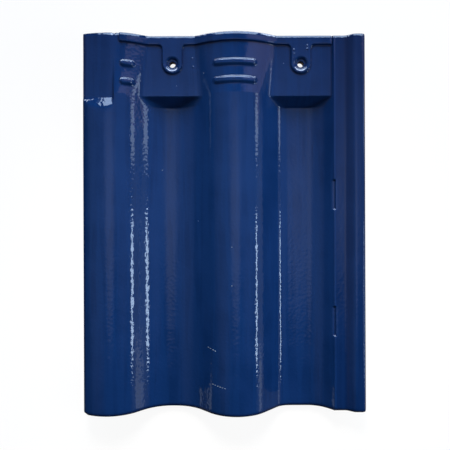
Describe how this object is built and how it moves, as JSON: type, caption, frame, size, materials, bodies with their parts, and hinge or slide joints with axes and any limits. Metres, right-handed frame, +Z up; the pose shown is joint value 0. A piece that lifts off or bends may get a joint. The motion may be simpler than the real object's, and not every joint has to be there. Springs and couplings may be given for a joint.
{
  "type": "glazed roof tile",
  "caption": "Interlocking ceramic roof tile with rounded rolls, flat pans, a side-lock flange, a raised head with nail holes and hanging nibs, in deep blue glaze.",
  "frame": {"origin": "centre of the tile's outline, on the plane that the pans' undersides and the nibs rest on", "axes": "+X across the tile towards the side-lock flange, +Y up the slope towards the head edge, +Z up out of the glazed face"},
  "size_m": [0.3, 0.404, 0.0433],
  "materials": {
    "glaze": "glossy deep blue glaze"
  },
  "bodies": {
    "root": {"roof_tile": "glaze"}
  },
  "joints": []
}
